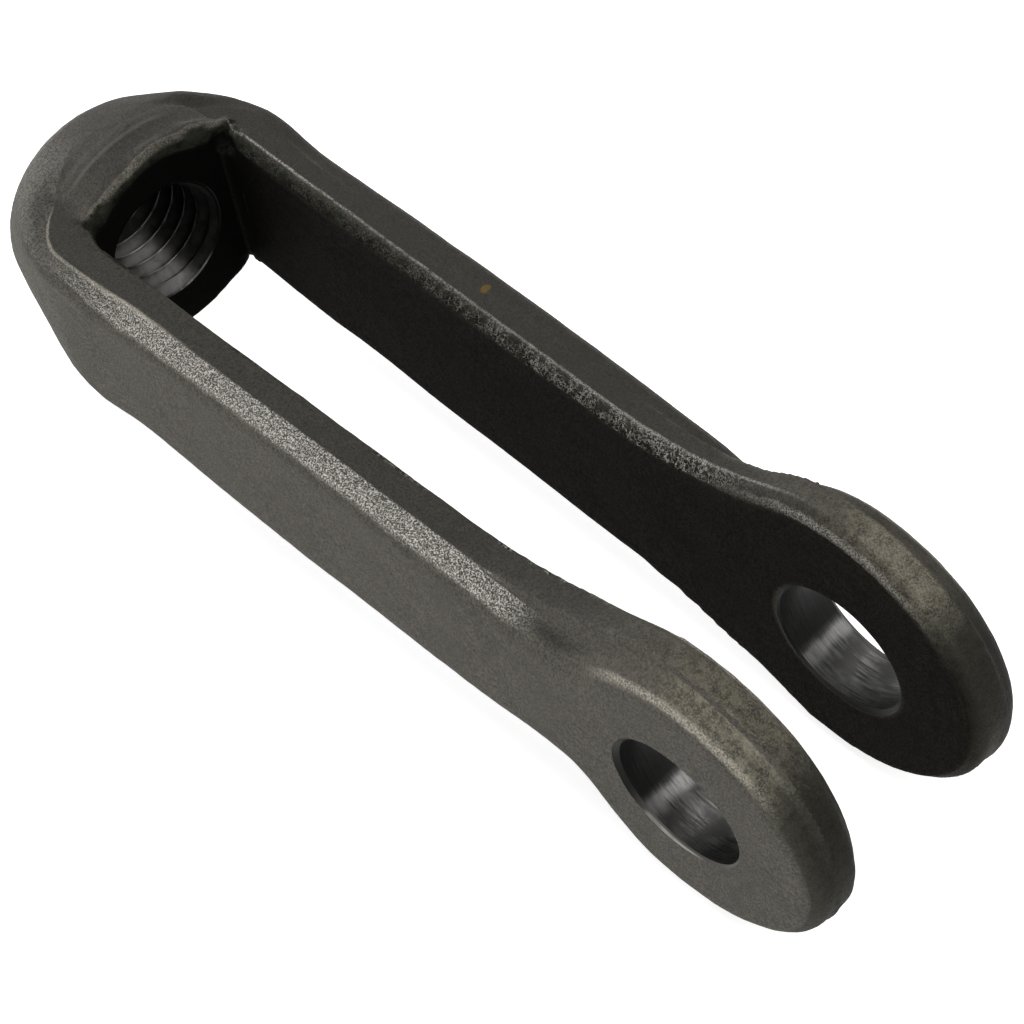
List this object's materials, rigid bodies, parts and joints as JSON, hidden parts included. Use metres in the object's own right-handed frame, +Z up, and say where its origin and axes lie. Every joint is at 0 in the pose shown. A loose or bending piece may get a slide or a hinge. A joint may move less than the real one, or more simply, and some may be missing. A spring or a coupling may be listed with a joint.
{
  "type": "clevis rod end",
  "caption": "Forged steel U-shaped yoke with a pin hole through both eyes and a tapped hub for a threaded rod.",
  "frame": {"origin": "middle of the pin axis, half way between the two eyes", "axes": "+X along the rod axis from the hub to the eye tips, +Y along the pin axis, +Z up across the strap's width"},
  "size_m": [0.1055, 0.0278, 0.0302],
  "materials": {
    "forged_steel": "as-forged, dark scale, dull and grainy; machined steel in the holes"
  },
  "bodies": {
    "root": {"clevis_yoke": "forged_steel"}
  },
  "joints": []
}
